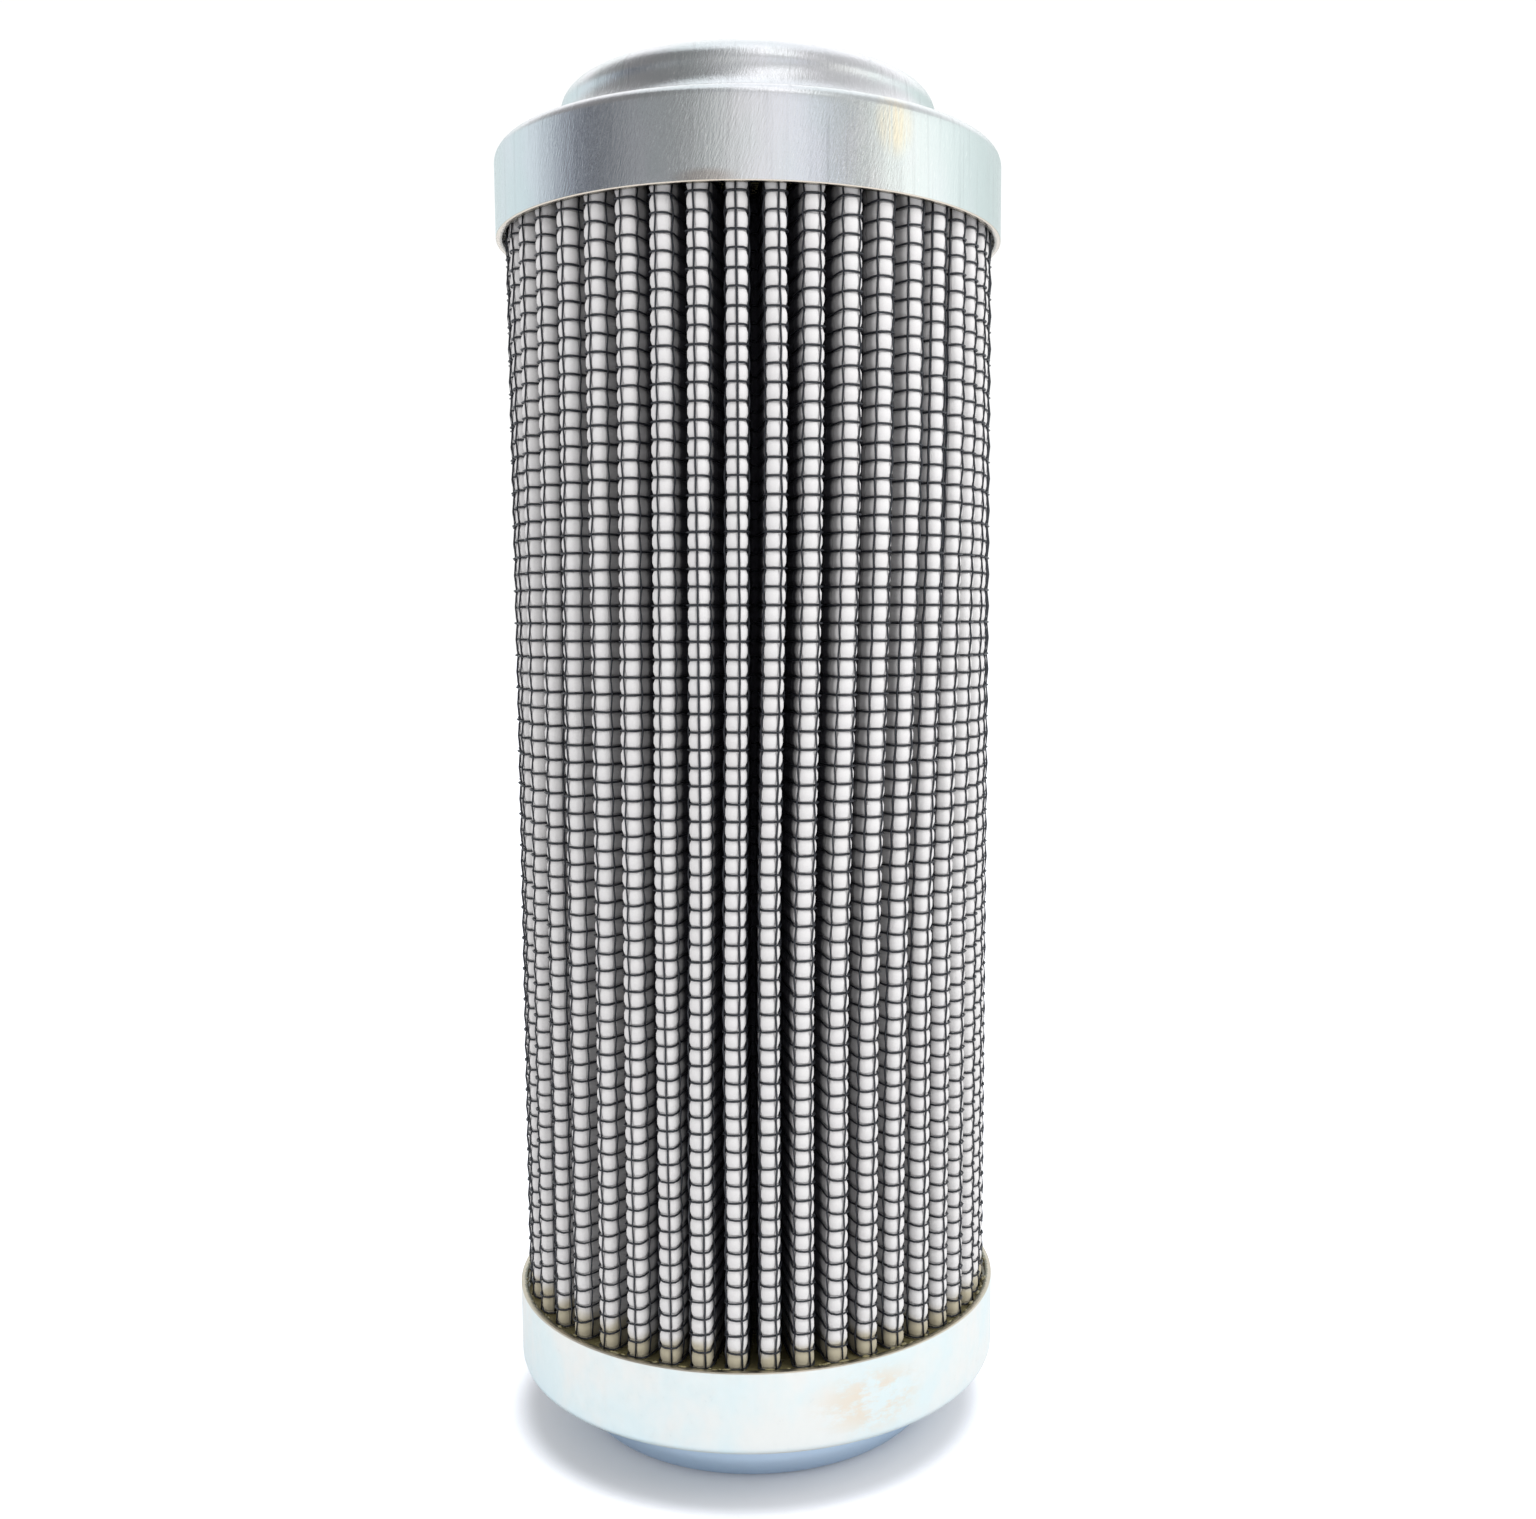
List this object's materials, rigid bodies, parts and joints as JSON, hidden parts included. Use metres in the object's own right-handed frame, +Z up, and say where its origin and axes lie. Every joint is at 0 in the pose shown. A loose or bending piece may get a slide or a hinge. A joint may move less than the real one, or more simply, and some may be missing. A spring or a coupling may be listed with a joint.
{
  "type": "pleated filter element",
  "caption": "Pleated hydraulic filter element: folded white media under black wire cloth, with zinc-plated steel end caps and an open neck.",
  "frame": {"origin": "centre of the bottom face of the closed cap's boss", "axes": "+Z up the axis of the element, towards the open neck; X and Y are free"},
  "size_m": [0.0445, 0.0444, 0.1193],
  "materials": {
    "bottom_end_cap": "bright zinc-plated pressed steel",
    "top_end_cap": "bright zinc-plated pressed steel",
    "seal_ring": "smooth moulded rubber",
    "seal_washer": "zinc-plated steel",
    "core_tube": "plain tinned steel",
    "filter_media": "matt white glass-fibre media",
    "wire_cloth": "black coated wire cloth, slightly glossy",
    "bottom_resin": "glossy olive-brown potting resin",
    "top_resin": "glossy olive-brown potting resin"
  },
  "bodies": {
    "root": {"bottom_end_cap": "bottom_end_cap", "top_end_cap": "top_end_cap", "seal_ring": "seal_ring", "seal_washer": "seal_washer", "core_tube": "core_tube", "filter_media": "filter_media", "wire_cloth": "wire_cloth", "bottom_resin": "bottom_resin", "top_resin": "top_resin"}
  },
  "joints": []
}
